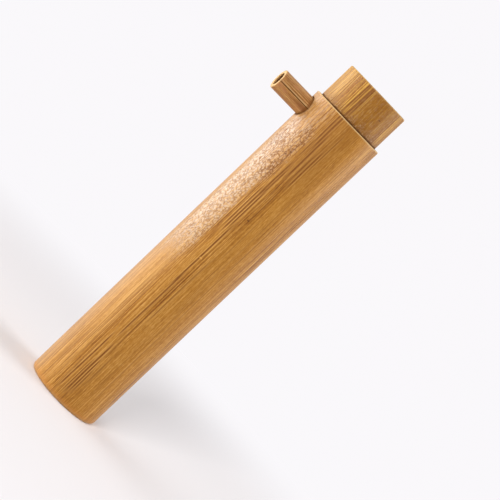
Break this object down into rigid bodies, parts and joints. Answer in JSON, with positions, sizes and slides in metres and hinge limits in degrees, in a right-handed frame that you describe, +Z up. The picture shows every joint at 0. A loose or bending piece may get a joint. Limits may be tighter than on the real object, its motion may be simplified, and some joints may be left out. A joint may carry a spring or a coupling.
{
  "type": "bird whistle",
  "caption": "Upright bamboo water bird whistle: a wide closed tube with an open collar, a side mouthpiece and a duct pipe that dips into the water inside.",
  "frame": {"origin": "centre of the flat underside of the wide tube, on the tube's axis", "axes": "+Z up the wide tube towards the open collar; the mouthpiece points along -X; +Y completes the right-handed frame"},
  "size_m": [0.046, 0.032, 0.1629],
  "materials": {
    "culm_bamboo": "satin, skinned bamboo with fine lengthwise fibres and a rubbed oil sheen",
    "collar_bamboo": "satin, slightly darker skinned bamboo",
    "mouthpiece_bamboo": "satin, thin bamboo with straight fibres",
    "pipe_bamboo": "plain dry bamboo",
    "block_wood": "bare pale dowel wood"
  },
  "bodies": {
    "root": {"culm_body": "culm_bamboo", "collar": "collar_bamboo", "mouthpiece": "mouthpiece_bamboo", "sounding_pipe": "pipe_bamboo", "fipple_block": "block_wood"}
  },
  "joints": []
}
